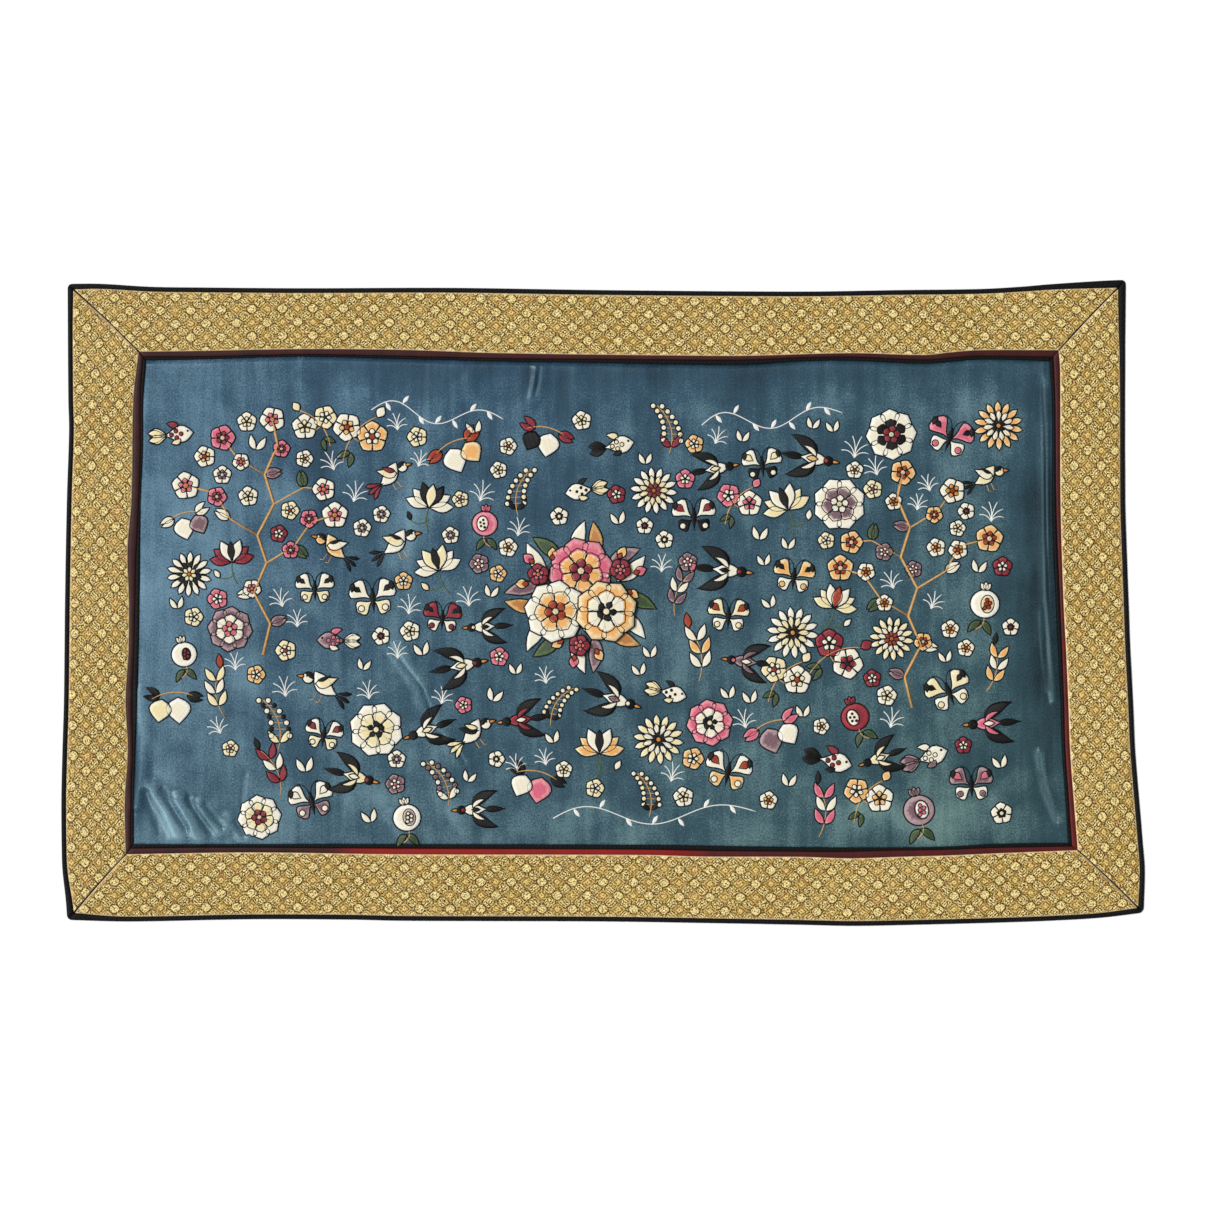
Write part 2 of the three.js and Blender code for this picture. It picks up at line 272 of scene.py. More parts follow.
def silk_satin_weave():
    """Warp-faced silk satin: long shining warp floats, so it takes light in soft upright streaks."""
    material, tree, shader = new_material("woven_silk_satin")
    place = add(tree, "TexCoord").outputs["Object"]
    # Cloudy dyeing, 20 to 90 mm across.
    clouds = add(tree, "TexNoise", {"Vector": place, "Scale": 12.0, "Detail": 4.0, "Roughness": 0.6})
    # Upright streaks about 15 mm wide, where the warp floats lie at a slightly different slope: a bump, and a
    # painted sheen in the colour.
    upright = add(tree, "Mapping", {"Vector": place, "Scale": (62.0, 7.0, 1.0)})
    sheen_streaks = add(tree, "TexNoise", {"Vector": upright, "Scale": 1.0, "Detail": 3.0, "Distortion": 0.4})
    # Grain of the weave, drawn at 2 mm so that it shows.
    grainy = add(tree, "Mapping", {"Vector": place, "Scale": (520.0, 400.0, 1.0)})
    grain = add(tree, "TexNoise", {"Vector": grainy, "Scale": 1.0, "Detail": 2.0, "Roughness": 0.7})
    # The sheet brings its tone with painted light and shade: paler on the tops of the folds, darker in their
    # valleys, and painted patches of sheen and shade. These patterns break it up.
    tone = add(tree, "Attribute", attribute_name="tone_with_painted_shade").outputs["Fac"]
    # The streaks' share of the colour is painted sheen.
    for pattern, strength in ((clouds, 0.85), (sheen_streaks, 0.4), (grain, 0.95)):
        centred = add(tree, "Math", [pattern, 0.5], operation="SUBTRACT")
        tone = add(tree, "Math", [centred, strength, tone], operation="MULTIPLY_ADD")
    dyed = add(tree, "ValToRGB", {"Fac": tone})
    dye(dyed, "#091B29", "#2D4B60", "#7799A9", 0.5)
    # The dye has turned greener towards the lower right corner.
    toward = add(tree, "VectorMath", [place, (0.75, -0.9, 0.0)], operation="DOT_PRODUCT")
    aged = add(tree, "MapRange", {"Value": toward, "From Min": -0.45, "From Max": 0.6})
    old_dye = add(tree, "Mix", {"Factor": aged, 6: "#F4F8FF", 7: "#FFF9D9"}, data_type="RGBA")
    colour = add(tree, "VectorMath", [dyed, old_dye], operation="MULTIPLY")
    relief = add(tree, "Math", [grain, 0.12, sheen_streaks], operation="MULTIPLY_ADD")
    join(tree, shader, {
        "Base Color": colour,
        "Normal": add(tree, "Bump", {"Strength": 1.0, "Distance": 0.0008, "Height": relief}),
        "Tangent": add(tree, "Tangent", direction_type="UV_MAP"),
        "Roughness": 0.35, "Anisotropic": 0.4, "Specular IOR Level": 0.85, "Specular Tint": "#B4D2DC",
        "Sheen Weight": 0.03, "Sheen Roughness": 0.4})
    return material


# The brocade's repeat, in millimetres: one bright roundel at each corner and at the middle.
REPEAT_ALONG = 41.5
REPEAT_ACROSS = 37.0


def gold_brocade_jacquard():
    """Jacquard brocade: cream floats stand proud of a gold ground, with fine dark weft outlines."""
    material, tree, shader = new_material("jacquard_gold_brocade")
    along = add(tree, "UVMap", uv_map="grain")
    # The diagonal lattice has one unit to a cell, 14 mm across.
    per_metre = 2 * math.sqrt(2) / MM
    scale = (per_metre / REPEAT_ALONG, per_metre / REPEAT_ACROSS, 1.0)
    lattice = add(tree, "Mapping", {"Vector": along, "Rotation": (0.0, 0.0, math.pi / 4), "Scale": scale})
    shifted = add(tree, "VectorMath", [lattice, (0.5, 0.5, 0.0)], operation="ADD")
    cell = add(tree, "VectorMath", [shifted], operation="FLOOR")
    local = add(tree, "VectorMath", [lattice, cell], operation="SUBTRACT")
    away = add(tree, "VectorMath", [local], operation="ABSOLUTE")
    across = add(tree, "SeparateXYZ", {"Vector": away}).outputs
    square = add(tree, "Math", [across["X"], across["Y"]], operation="MAXIMUM")
    radius = add(tree, "VectorMath", [local], operation="LENGTH")
    rounded = add(tree, "Mix", {"Factor": 0.65, "A": square, "B": radius})

    # Roundels and small diamonds take turns with the leaf sprays, cell by cell.
    halved = add(tree, "VectorMath", {0: cell, "Scale": 0.5}, operation="SCALE")
    parity = add(tree, "VectorMath", [halved], operation="FRACTION")
    odd = add(tree, "SeparateXYZ", {"Vector": parity}).outputs
    odd_sum = add(tree, "Math", [odd["X"], odd["Y"]], operation="ADD")
    kinds = {}
    for kind, sum_of_halves in (("roundel", 0.0), ("spray", 0.5), ("diamond", 1.0)):
        kinds[kind] = add(tree, "Math", [odd_sum, sum_of_halves, 0.1], operation="COMPARE")
    # The leaves and the dark stitches keep inside the rims.
    for kind, whole, reach in (("leaves", "spray", 0.41), ("roundel_middle", "roundel", 0.36)):
        inside = add(tree, "Math", [rounded, reach], operation="LESS_THAN")
        kinds[kind] = add(tree, "Math", [inside, kinds[whole]], operation="MULTIPLY")

    # Curled strokes of the leaf spray, which lean to the left and to the right by turns.
    quarter_turn = add(tree, "VectorMath", [local, (0.0, 0.0, 1.0)], operation="CROSS_PRODUCT")
    which_way = add(tree, "Math", [odd["X"], 2.0], operation="MULTIPLY")
    leaning = add(tree, "Mix", {"Factor": which_way, 4: local, 5: quarter_turn}, data_type="VECTOR")
    curls = add(tree, "TexWave",
                {"Vector": leaning, "Scale": 1.35, "Distortion": 5.0, "Detail": 1.0, "Detail Scale": 2.6,
                 "Phase Offset": 0.8}, bands_direction="X").outputs["Fac"]
    # Short dark stitches between the curls, 2 to 3 mm long.
    seeds = add(tree, "TexNoise", {"Vector": lattice, "Scale": 6.5, "Detail": 0.0})
    # Threads drawn at 2 mm so that they show, and tints of old gold and rose.
    threads = add(tree, "TexNoise", {"Vector": along, "Scale": 460.0, "Detail": 1.0, "Roughness": 0.65})
    tint = add(tree, "TexNoise", {"Vector": along, "Scale": 9.0, "Detail": 3.0})
    blush = add(tree, "TexNoise", {"Vector": along, "Scale": 23.0, "Detail": 3.0})
    # The turned edges carry a painted highlight, pale and pinkish, broken into flecks like short thread ends.
    rim = add(tree, "Attribute", attribute_name="rim").outputs["Fac"]
    edge_highlight_flecks = add(tree, "Math", [threads, 0.012, rim], operation="MULTIPLY_ADD")

    # Each layer of thread over the last: what it follows, from where it starts to where it is full,
    # how much it covers, the kind of cell that has it, and its colour.
    layers = [
        ("old_gold", tint, 0.42, 0.62, 1.0, None, "#CEA85A"),
        ("rose_tint", blush, 0.54, 0.7, 0.6, None, "#C4844E"),
        ("lattice", square, 0.46, 0.49, 0.85, None, "#48340E"),
        ("spray_edge", rounded, 0.57, 0.53, 1.0, "spray", "#3C280A"),
        ("spray_rim", rounded, 0.47, 0.44, 1.0, "spray", "#E4BE6A"),
        ("spray_ground", rounded, 0.4, 0.37, 0.9, "spray", "#B48C42"),
        ("spray_floats", curls, 0.44, 0.56, 1.0, "leaves", "#FFE698"),
        ("spray_shade", curls, 0.22, 0.12, 1.0, "leaves", "#3E2606"),
        ("spray_seeds", seeds, 0.44, 0.39, 1.0, "leaves", "#201203"),
        ("roundel_ring", rounded, 0.53, 0.48, 1.0, "roundel", "#3C280A"),
        ("roundel", rounded, 0.42, 0.39, 1.0, "roundel", "#E8C674"),
        ("roundel_floats", curls, 0.42, 0.6, 1.0, "roundel_middle", "#FFEFAE"),
        ("roundel_shade", seeds, 0.44, 0.38, 0.95, "roundel_middle", "#584016"),
        ("diamond_edge", square, 0.35, 0.32, 0.85, "diamond", "#4C350F"),
        ("diamond_field", square, 0.26, 0.23, 1.0, "diamond", "#CCA454"),
        ("diamond", square, 0.17, 0.13, 0.9, "diamond", "#F4DC90"),
        ("diamond_seed", radius, 0.09, 0.05, 0.9, "diamond", "#4E3512"),
        ("pale_floats", threads, 0.54, 0.63, 0.6, None, "#FFE89C"),
        ("dark_floats", threads, 0.46, 0.38, 0.6, None, "#48300C"),
        # Painted highlight along the turned edges.
        ("painted_edge_highlight", edge_highlight_flecks, 0.0078, 0.0068, 0.85, None, "#EBCFA8"),
    ]
    colour = linear("#B8903F")
    shows = {}
    for layer, value, empty, full, cover, kind, thread in layers:
        share = add(tree, "MapRange",
                    {"Value": value, "From Min": empty, "From Max": full, "To Max": cover},
                    interpolation_type="SMOOTHSTEP")
        if kind:
            share = add(tree, "Math", [share, kinds[kind]], operation="MULTIPLY")
        shows[layer] = share
        colour = add(tree, "Mix", {"Factor": share, 6: colour, 7: thread}, data_type="RGBA")

    # The bright floats stand proud, and the dark outlines are sunk between them.
    height = threads
    for layer, proud in (("roundel", 1.2), ("roundel_shade", -0.8), ("spray_floats", 0.8),
                         ("spray_shade", -0.6), ("lattice", -0.6), ("diamond", 0.5)):
        height = add(tree, "Math", [shows[layer], proud, height], operation="MULTIPLY_ADD")
    join(tree, shader, {
        "Base Color": colour,
        "Normal": add(tree, "Bump", {"Strength": 0.6, "Distance": 0.0005, "Height": height}),
        "Roughness": 0.5, "Specular IOR Level": 0.18, "Sheen Weight": 0.02})
    return material


def red_silk_ribbon():
    """Plain-woven silk ribbon, dyed dark red and faded to clear red in places."""
    material, tree, shader = new_material("plain_woven_red_silk")
    place = add(tree, "TexCoord").outputs["Object"]
    tone = add(tree, "Attribute", attribute_name="tone").outputs["Fac"]
    worn = add(tree, "TexNoise", {"Vector": place, "Scale": 45.0, "Detail": 4.0})
    spread = add(tree, "Math", [worn, 0.5], operation="SUBTRACT")
    shaded = add(tree, "Math", [spread, 0.5, tone], operation="MULTIPLY_ADD")
    dyed = add(tree, "ValToRGB", {"Fac": shaded})
    dye(dyed, "#150709", "#4A1412", "#8E160C", 0.45)
    # Threads drawn at 1.5 mm so that they show.
    threads = add(tree, "TexNoise", {"Vector": place, "Scale": 700.0, "Detail": 1.0})
    join(tree, shader, {
        "Base Color": dyed,
        "Normal": add(tree, "Bump", {"Strength": 0.4, "Distance": 0.0005, "Height": threads}),
        "Roughness": 0.5, "Specular IOR Level": 0.25, "Sheen Weight": 0.03})
    return material


def black_cotton_sateen():
    """Black cotton sateen binding: matt, with a faint diagonal rib and a little pale lint."""
    material, tree, shader = new_material("black_cotton_sateen")
    place = add(tree, "TexCoord").outputs["Object"]
    # Ribs 5 mm apart, drawn coarser than the real twill so that they show.
    turned_by = (0.0, 0.0, math.radians(38))
    diagonal = add(tree, "Mapping", {"Vector": place, "Rotation": turned_by})
    ribs = add(tree, "TexWave",
               {"Vector": diagonal, "Scale": 64.0, "Distortion": 2.0, "Detail Scale": 3.0}).outputs["Fac"]
    lint = add(tree, "TexNoise", {"Vector": place, "Scale": 420.0, "Detail": 3.0})
    dusted = add(tree, "MapRange", {"Value": lint, "From Min": 0.62, "From Max": 0.78, "To Max": 0.45})
    join(tree, shader, {
        "Base Color": add(tree, "Mix", {"Factor": dusted, 6: "#0B0A0C", 7: "#37312E"}, data_type="RGBA"),
        "Normal": add(tree, "Bump", {"Strength": 0.5, "Distance": 0.0004, "Height": ribs}),
        "Roughness": 0.62, "Specular IOR Level": 0.15})
    return material


SATIN = silk_satin_weave()
BROCADE = gold_brocade_jacquard()
RED_SILK = red_silk_ribbon()
BLACK_SATEEN = black_cotton_sateen()


# Sheets of cloth

def made_piece(name, points, faces, map_name, mapped, material):
    """A smooth piece that rides on the body, with a map for its points."""
    mesh = bpy.data.meshes.new(name)
    mesh.from_pydata(points.tolist(), [], faces)
    uv = mesh.uv_layers.new(name=map_name)
    corners = np.empty(len(mesh.loops), dtype=np.int32)
    mesh.loops.foreach_get("vertex_index", corners)
    uv.data.foreach_set("uv", mapped[corners].ravel())
    mesh.polygons.foreach_set("use_smooth", np.ones(len(mesh.polygons), dtype=bool))
    mesh.materials.append(material)
    piece = bpy.data.objects.new(name, mesh)
    bpy.context.scene.collection.objects.link(piece)
    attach(piece, "root")
    return piece


def closed_sheet(name, plan, tops, unders, material, grain, values):
    """A closed sheet over a grid of points: plan in mm, its heights, and the grain's map in mm."""
    rows, columns = plan.shape[:2]
    count = rows * columns
    layers = [np.dstack([plan, heights]) for heights in (unders, tops)]
    points = np.concatenate([layer.reshape(-1, 3) for layer in layers]) * MM
    low = np.arange(count).reshape(rows, columns)
    up = low + count
    rim = np.concatenate([low[0, :-1], low[:-1, -1], low[-1, :0:-1], low[:0:-1, 0]])
    onward = np.roll(rim, -1)
    top_faces = np.stack([up[:-1, :-1], up[:-1, 1:], up[1:, 1:], up[1:, :-1]], axis=-1).reshape(-1, 4)
    under_faces = np.stack([low[:-1, :-1], low[1:, :-1], low[1:, 1:], low[:-1, 1:]], axis=-1).reshape(-1, 4)
    rim_faces = np.stack([rim, onward, onward + count, rim + count], axis=-1)
    faces = np.concatenate([top_faces, under_faces, rim_faces])
    across, along = plan[0, -1] - plan[0, 0], plan[-1, 0] - plan[0, 0]
    if across[0] * along[1] < across[1] * along[0]:
        faces = faces[:, ::-1]
    mapped = np.concatenate([grain.reshape(-1, 2)] * 2) * MM
    piece = made_piece(name, points, faces.tolist(), "grain", mapped, material)
    for label, value in values.items():
        attribute = piece.data.attributes.new(label, "FLOAT", "POINT")
        attribute.data.foreach_set("value", np.concatenate([value.ravel()] * 2).astype(np.float32))
    return piece


def declare_sheet(node):
    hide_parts(node)


# Hand-sewn strips are slightly uneven, and dip at their mitred ends: by what shares of their height.
PUCKER = 0.0875
MITRE_DIP = 0.25
MITRE_REACH = 3


def pucker(x, y):
    """The unevenness of the strips at any place, in waves of 70 to 330 mm."""
    slow = np.sin(x / 31 + y / 17) * np.sin(x / 53 - y / 29 + 1.3)
    return PUCKER * (slow + np.sin(x / 11 + y / 13) / 4)


def side_strip(side, name, outer_line, inner_line, profile, material, slot, spacing):
    """One side's strip between two sewn lines. profile has rows of (share across, height in mm)."""
    ends = points_along(outer_line, side, np.array([0.0, 1.0]))
    length = np.linalg.norm(ends[1] - ends[0])
    shares = np.linspace(0, 1, int(length / spacing) + 1)
    outer, inner = (points_along(sewn, side, shares) for sewn in (outer_line, inner_line))
    across, heights = np.array(profile).T
    plan = outer[:, None, :] * (1 - across[None, :, None]) + inner[:, None, :] * across[None, :, None]
    x, y = plan[..., 0], plan[..., 1]
    lift = rise(x, y)
    widths = np.linalg.norm(outer - inner, axis=1)[:, None]
    from_mitre = (np.minimum(shares, 1 - shares) * length * math.sqrt(0.5))[:, None]
    rim = np.minimum(np.minimum(across, 1 - across)[None, :] * widths, from_mitre)
    dip = MITRE_DIP * np.exp(-(from_mitre / MITRE_REACH) ** 2)
    tops = lift + heights[None, :] * (1 + pucker(x, y) - dip)
    # The grain runs straight along the strip, and is measured from its inner seam.
    place_along, place_out = (x, y) if is_long(side) else (y, x)
    grain = np.stack([place_along, place_out - SIDES[side]["seam"](place_along)], axis=-1)
    tone = smooth_line(RED_TONES[side])(place_along)
    piece = closed_sheet(f"{name}_{side}_cloth", plan, tops, lift, material, grain,
                         {"rim": rim * MM, "tone": tone})
    declare_sheet(f"{name}_{side}")


# Height profiles across each strip, from its outer line to its inner one.
BROCADE_PROFILE = [(0, 1.1), (0.015, 1.7), (0.04, 2.2), (0.09, 2.6), (0.2, 2.7), (0.35, 2.6), (0.5, 2.6),
                   (0.65, 2.6), (0.8, 2.7), (0.91, 2.8), (0.965, 2.7), (0.985, 2.3), (1, 1.4)]
RED_PROFILE = [(0, 0.9), (0.12, 1.5), (0.4, 1.7), (0.8, 1.6), (1, 1.0)]
INNER_PROFILE = [(0, 0.9), (0.15, 1.8), (0.45, 2.3), (0.8, 2.1), (1, 1.5)]
BINDING_PROFILE = [(0, 0.5), (0.05, 1.6), (0.15, 2.6), (0.35, 3.3), (0.6, 3.4), (0.82, 3.1), (0.95, 2.5),
                   (1, 1.5)]
# Each strip with its two sewn lines, its section, its cloth, and the spacing of its points in mm.
STRIPS = [
    ("brocade_border", "binding", "seam", BROCADE_PROFILE, BROCADE, "gold_brocade", 5.0),
    ("red_band", "seam", "red", RED_PROFILE, RED_SILK, "red_silk", 4.0),
    ("inner_binding", "red", "satin", INNER_PROFILE, BLACK_SATEEN, "black_binding", 4.0),
    ("outer_binding", "edge", "binding", BINDING_PROFILE, BLACK_SATEEN, "black_binding", 4.0),
]
for side in LINES:
    for strip in STRIPS:
        side_strip(side, *strip)


# The satin field

# Fine creases of the satin that are too slight for the solid, as rows like those of the main folds.
CREASES = [
    ([(-621, -256), (-617, -284), (-606, -312)], 9, 6, -3.2),
    ([(-602, -256), (-588, -278), (-570, -306)], 5, 11, -3.6),
    ([(-566, -268), (-552, -288), (-538, -312)], 5, 10, -3.0),
    ([(-543, -276), (-520, -304)], 4, 10, -2.8),
    ([(-502, -297), (-489, -316)], 4, 8, -2.2),
    ([(-487, -231), (-493, -277)], 3.5, 5, -1.2),
    ([(-455, -295), (-446, -310)], 4, 5, -0.9),
    ([(-617, -196), (-616, -232)], 8, 14, -1.2),
    ([(-600, -226), (-560, -246), (-520, -270)], 18, 18, 0.9),
    ([(-470, -246), (-440, -296)], 14, 18, 1.0),
    ([(-88, 318), (-90, 300), (-95, 282)], 2.8, 8, -2.4),
    ([(-97, 316), (-102, 284)], 12, 6, -2.2),
    ([(-352, 22), (-345, -22), (-336, -46)], 5, 7, -1.8),
    ([(-292, -52), (-265, -95), (-243, -125), (-232, -160), (-190, -216)], 18, 18, -1.7),
    ([(-291, -57), (-270, -85), (-246, -116), (-239, -135), (-232, -156)], 4, 5, -2.2),
    ([(-232, -166), (-217, -182)], 4, 5, -1.9),
    ([(-204, -191), (-189, -217)], 4, 5, -1.9),
    ([(-136, 242), (-131, 193)], 4, 5, -0.7),
    ([(113, 272), (112, 234)], 4, 5, -0.8),
    ([(-392, 300), (-380, 180), (-384, 90)], 10, 14, -1.2),
    ([(-262, 210), (-256, 120), (-264, 50)], 14, 14, 1.2),
    ([(598, 296), (601, 200), (602, 100), (605, 14), (612, -60), (618, -130)], 2.6, 5, -1.7),
    ([(604, 290), (607, 140), (609, 40), (612, -20)], 2.4, 4, -1.5),
    ([(580, 240), (582, 120), (584, 20)], 12, 14, -0.8),
    ([(595, -10), (598, -70), (604, -120)], 5, 7, 1.0),
    ([(592, -206), (601, -254), (618, -294)], 14, 6, -1.3),
    ([(606, -190), (606, -240), (620, -284)], 4, 9, -1.3),
    ([(576, -214), (580, -262), (590, -300)], 12, 12, 0.9),
    ([(566, -230), (524, -276)], 12, 12, 1.2),
    ([(548, -226), (508, -264)], 10, 10, -1.0),
    ([(340, -140), (352, -190), (348, -236)], 12, 12, 1.1),
]

# The grid of the satin, as runs of (from, to, step) in mm, finer across the folds, and its whole size.
SATIN_COLUMNS = [(-638, -480, 2.6), (-480, -300, 6.2), (-300, -184, 2.6), (-184, -100, 6.2),
                 (-100, -80, 2.6), (-80, 574, 6.4), (574, 632, 1.7)]
SATIN_ROWS = [(-328, -224, 2.6), (-224, -50, 3.2), (-50, 329, 6.4)]
SATIN_LENGTH = 1250
SATIN_WIDTH = 660

# The edge of the satin is held down under the binding: how far in, and how far down.
HELD_WIDTH = 5
HELD_DOWN = 0.2

# Patches of painted sheen (above 0) and painted shade (below 0) on the satin, from broad pools of sheen and
# shade to dark lines in the grooves: the middle, the half widths along x and y, and the change.
PAINTED_SHEEN_AND_SHADE_PATCHES = [
    (-560, 60, 160, 380, 0.19),
    (-381, 190, 24, 120, -0.2),
    (-262, 140, 26, 100, 0.18),
    (40, 332, 430, 40, -0.25),
    (606, 20, 44, 270, -0.42),
    (495, 95, 50, 140, 0.06),
    (0, -312, 640, 60, 0.07),
    (-307, -264, 44, 24, 0.22),
    (363, -282, 42, 30, 0.24),
    (465, -284, 70, 28, 0.12),
    (470, 288, 100, 60, 0.13),
    (-604, 0, 36, 170, 0.06),
    (0, -40, 260, 90, 0.06),
    (600.5, 190, 1.5, 120, -0.5),
    (606, 170, 1.4, 110, -0.4),
    (604, 176, 1.6, 120, 0.25),
    (603.5, 30, 1.8, 50, -0.4),
    (597, 120, 3, 200, 0.12),
    (-91, 300, 2.6, 18, -0.35),
    (-99, 300, 4, 24, -0.16),
    (302, -288, 24, 36, -0.16),
    (354, -186, 20, 46, 0.16),
    (-24, -10, 34, 44, 0.1),
    (-634, -240, 18, 70, -0.3),
    (-566, -268, 44, 36, -0.1),
    (-520, -316, 90, 18, 0.12),
]
# The satin's tone where it lies even, and how much paler it is painted for each mm that it rises: painted
# light on the tops of the folds and painted shade in their valleys.
EVEN_FADE = 0.515
PAINTED_LIGHT_PER_MM = 0.06
# The height of an even stretch, and the least that the satin keeps over the floor, in mm.
EVEN_SWELL = 0.7
LEAST_HEIGHT = 0.1


def crease(x, y):
    """The fine creases and the slow unevenness of the satin, in millimetres."""
    swell = (EVEN_SWELL + 0.5 * np.sin(x / 19 + 1.6 * np.sin(y / 90)) * np.sin(y / 140 + x / 300)
             + 0.6 * np.sin(x / 61 + y / 47) * np.sin(y / 39 - x / 120))
    return folded(CREASES, x, y) + swell


def tone_with_painted_shade(x, y):
    """The satin's tone at any place, from 0, dark, to 1, pale, with painted light and shade: paler on the
    tops of the folds, darker in their valleys, and the painted patches of sheen and shade.
    """
    # Painted light and shade: the tone rises with the height of the folds and creases.
    amount = EVEN_FADE + PAINTED_LIGHT_PER_MM * (rise(x, y) + crease(x, y) - EVEN_SWELL)
    # Painted sheen and painted shade, patch by patch.
    for middle_x, middle_y, half_x, half_y, change in PAINTED_SHEEN_AND_SHADE_PATCHES:
        amount += change * np.exp(-((x - middle_x) / half_x) ** 2 - ((y - middle_y) / half_y) ** 2)
    return amount


def satin_top(x, y):
    """The height of the satin's face at any place, in millimetres."""
    return SATIN_THICK + np.maximum(rise(x, y) + crease(x, y), LEAST_HEIGHT)


def grid_shares(runs):
    """Places along a grid, as shares of its length from 0 to 1."""
    places = np.concatenate([np.arange(start, end - step / 2, step) for start, end, step in runs])
    first, last = runs[0][0], runs[-1][1]
    return np.append((places - first) / (last - first), 1.0)


def satin_field():
    columns = grid_shares(SATIN_COLUMNS)
    rows = grid_shares(SATIN_ROWS)
    low, high = (points_along("satin", side, columns) for side in ("bottom", "top"))
    left, right = (points_along("satin", side, rows) for side in ("left", "right"))
    u, v = columns[None, :, None], rows[:, None, None]
    by_columns = low[None] * (1 - v) + high[None] * v
    by_rows = left[:, None] * (1 - u) + right[:, None] * u
    by_corners = (low[0] * (1 - u) + low[-1] * u) * (1 - v) + (high[0] * (1 - u) + high[-1] * u) * v
    plan = by_columns + by_rows - by_corners
    x, y = plan[..., 0], plan[..., 1]
    from_sides = np.minimum(columns, 1 - columns)[None, :] * SATIN_LENGTH
    from_ends = np.minimum(rows, 1 - rows)[:, None] * SATIN_WIDTH
    held = np.exp(-(np.minimum(from_sides, from_ends) / HELD_WIDTH) ** 2)
    tops = satin_top(x, y) * (1 - held) + (rise(x, y) + SATIN_THICK - HELD_DOWN) * held
    # The sheet carries its tone, with its painted light and shade, as a point attribute.
    piece = closed_sheet("satin_field_cloth", plan, tops, np.maximum(tops - SATIN_THICK, 0), SATIN, plan,
                         {"tone_with_painted_shade": tone_with_painted_shade(x, y)})
    declare_sheet("satin_field")


satin_field()


# Embroidery

# Silk threads: the colour in the middle of a filled shape, and the paler or darker one at its rim.
THREADS = {
    "ivory": ("#F3EBD0", "#FDFBF0"),
    "cream": ("#F3E2AC", "#FBF4D6"),
    "peach": ("#EFB062", "#F8E2B2"),
    "amber": ("#DD8326", "#EDB45E"),
    "brick": ("#A02E0E", "#BF4A1C"),
    "crimson": ("#84182E", "#A8303C"),
    "rose": ("#D9607A", "#EE99A4"),
    "plum": ("#75545E", "#B79A9C"),
    "olive": ("#33492A", "#5C7040"),
    "ochre": ("#B9793A", "#DDAE6C"),
    "white": ("#EFEEE6", "#FAFAF4"),
    "black": ("#060505", "#060505"),
}
OUTLINE_WIDTH = 2.2
THREAD_SPACING = 1.7  # drawn coarser than real floss so that the stitches show


def turned(points, degrees, at=0j, size=1.0):
    return at + size * points * complex(math.cos(math.radians(degrees)), math.sin(math.radians(degrees)))


def petal(length, width, belly, bend=0.0, count=8):
    """A pointed shape from the origin along x, widest at its belly."""
    t = np.linspace(0, 1, count)
    half = width / 2 * np.sin(np.pi * t ** (math.log(0.5) / math.log(belly)))
    upper = t * length + 1j * half
    shape = np.concatenate([upper, upper[-2:0:-1].conj()])
    return shape * np.exp(1j * math.radians(bend) * shape.real / length)


def round_shape(radius, count=10, squash=1.0):
    angles = np.arange(count) * 2 * math.pi / count
    return radius * (np.cos(angles) + 1j * squash * np.sin(angles))


def arc(start, end, bulge, count=9):
    """A curved stem from one point to another, bulging to its left by a share of its length."""
    t = np.linspace(0, 1, count)
    return start + (end - start) * (t + 1j * bulge * 4 * t * (1 - t))


# Every motif is a list of parts in its own millimetres, with points as complex numbers.

def fill(thread, outline, layer=0, slant=0.0):
    return {"kind": "fill", "thread": thread, "points": outline, "layer": layer, "slant": slant}


def leaf(thread, length, width, degrees, at=0j, layer=0, belly=0.5, bend=0.0):
    """A petal, leaf or feather, with its stitches along it."""
    return fill(thread, turned(petal(length, width, belly, bend), degrees, at), layer, degrees)


def spot(thread, radius, at=0j, layer=0, count=10, squash=1.0):
    return fill(thread, round_shape(radius, count, squash) + at, layer)


def line(thread, points, width, layer=0):
    return {"kind": "line", "thread": thread, "points": np.asarray(points, dtype=complex),
            "width": width, "layer": layer, "slant": 0.0}


def moved(parts, at=0j, size=1.0, degrees=0.0, flip=False, lift=0):
    """A motif put in another place, size and direction."""
    made = []
    for part in parts:
        points = -part["points"].conj() if flip else part["points"]
        slant = 180 - part["slant"] if flip else part["slant"]
        made.append(dict(part, points=turned(points, degrees, at, size), layer=part["layer"] + lift,
                         slant=slant + degrees))
    return made


def whorl(thread, count, length, width, layer=0, start=0.0, belly=0.66):
    """Petals set round a centre."""
    return [leaf(thread, length, width, start + 360 * i / count, 0j, layer, belly) for i in range(count)]


def leafy_pair(thread, at, degrees, length, width, spread=48.0):
    return [leaf(thread, length, width, degrees + side, at, 0, 0.45, bend)
            for side, bend in ((spread, -20), (-spread, 20))]


def blossom(outer, middle, core):
    """A five-petalled plum blossom."""
    return whorl(outer, 5, 13, 12.5, 0, 90) + whorl(middle, 5, 7, 4.5, 1, 90) + [spot(core, 2.6, 0j, 2)]


def blossom_pair(outer, middle, core):
    """Two plum blossoms and a bud on a twig."""
    twigs = [line("ochre", arc(-20 - 18j, 18 + 20j, 0.15), 2.0), line("ochre", arc(-2j, -16 + 17j, 0.1), 1.6)]
    return (twigs + leafy_pair("olive", -12 - 10j, 225, 14, 6, 50)
            + moved(blossom(outer, middle, core), -12 + 14j, 1.05, 20)
            + moved(blossom(middle, outer, core), 10 + 2j, 1.15, 65) + [leaf(outer, 12, 9, 50, 17 + 19j, 1)])


